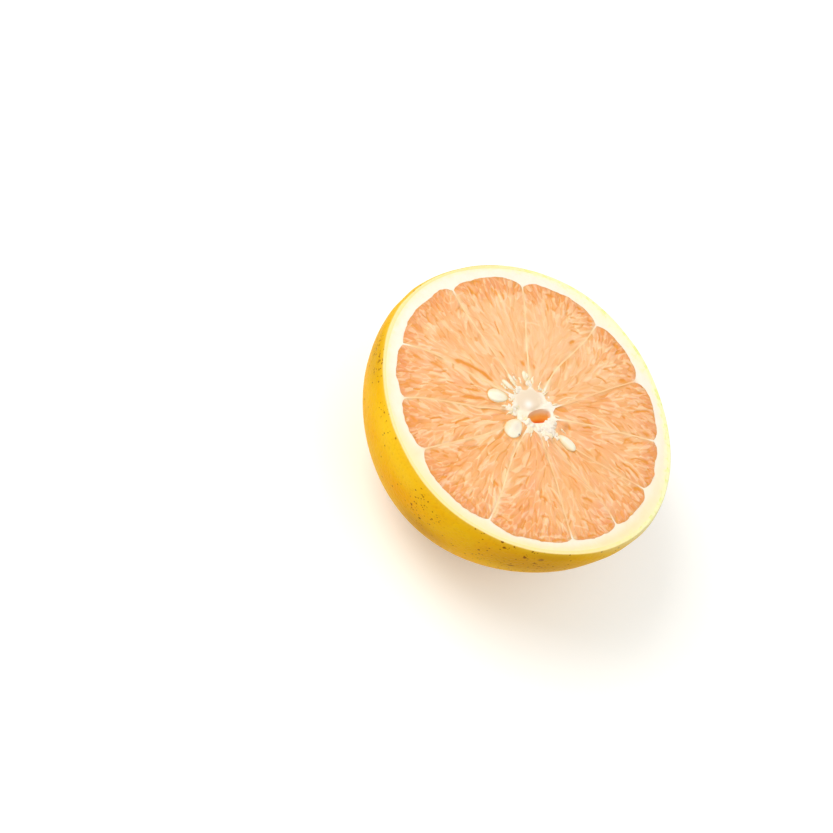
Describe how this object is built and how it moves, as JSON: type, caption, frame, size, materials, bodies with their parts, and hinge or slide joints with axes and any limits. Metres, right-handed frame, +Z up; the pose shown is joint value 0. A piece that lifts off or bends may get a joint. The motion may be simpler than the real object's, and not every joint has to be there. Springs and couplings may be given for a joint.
{
  "type": "halved grapefruit",
  "caption": "Half of a grapefruit lying on its rind with the cut face up: rind, pith with core and membranes, wedge segments of pulp, and seeds beside the core.",
  "frame": {"origin": "on the surface that the half rests on, below the middle of the fruit", "axes": "+Z up out of the cut face; +X and +Y lie in the surface, with the camera of the picture on the -Y side"},
  "size_m": [0.107, 0.1062, 0.0521],
  "materials": {
    "rind": "satin, finely pored, waxy",
    "pith": "matt, spongy",
    "pulp": "wet, translucent",
    "seed": "wet, smooth"
  },
  "bodies": {
    "root": {"rind": "rind", "pith_and_membranes": "pith", "segment_01": "pulp", "segment_02": "pulp", "segment_03": "pulp", "segment_04": "pulp", "segment_05": "pulp", "segment_06": "pulp", "segment_07": "pulp", "segment_08": "pulp", "segment_09": "pulp", "segment_10": "pulp", "segment_11": "pulp", "segment_12": "pulp", "seed_1": "seed", "seed_2": "seed", "seed_3": "seed", "seed_4": "seed", "seed_5": "seed", "seed_6": "seed"}
  },
  "joints": []
}
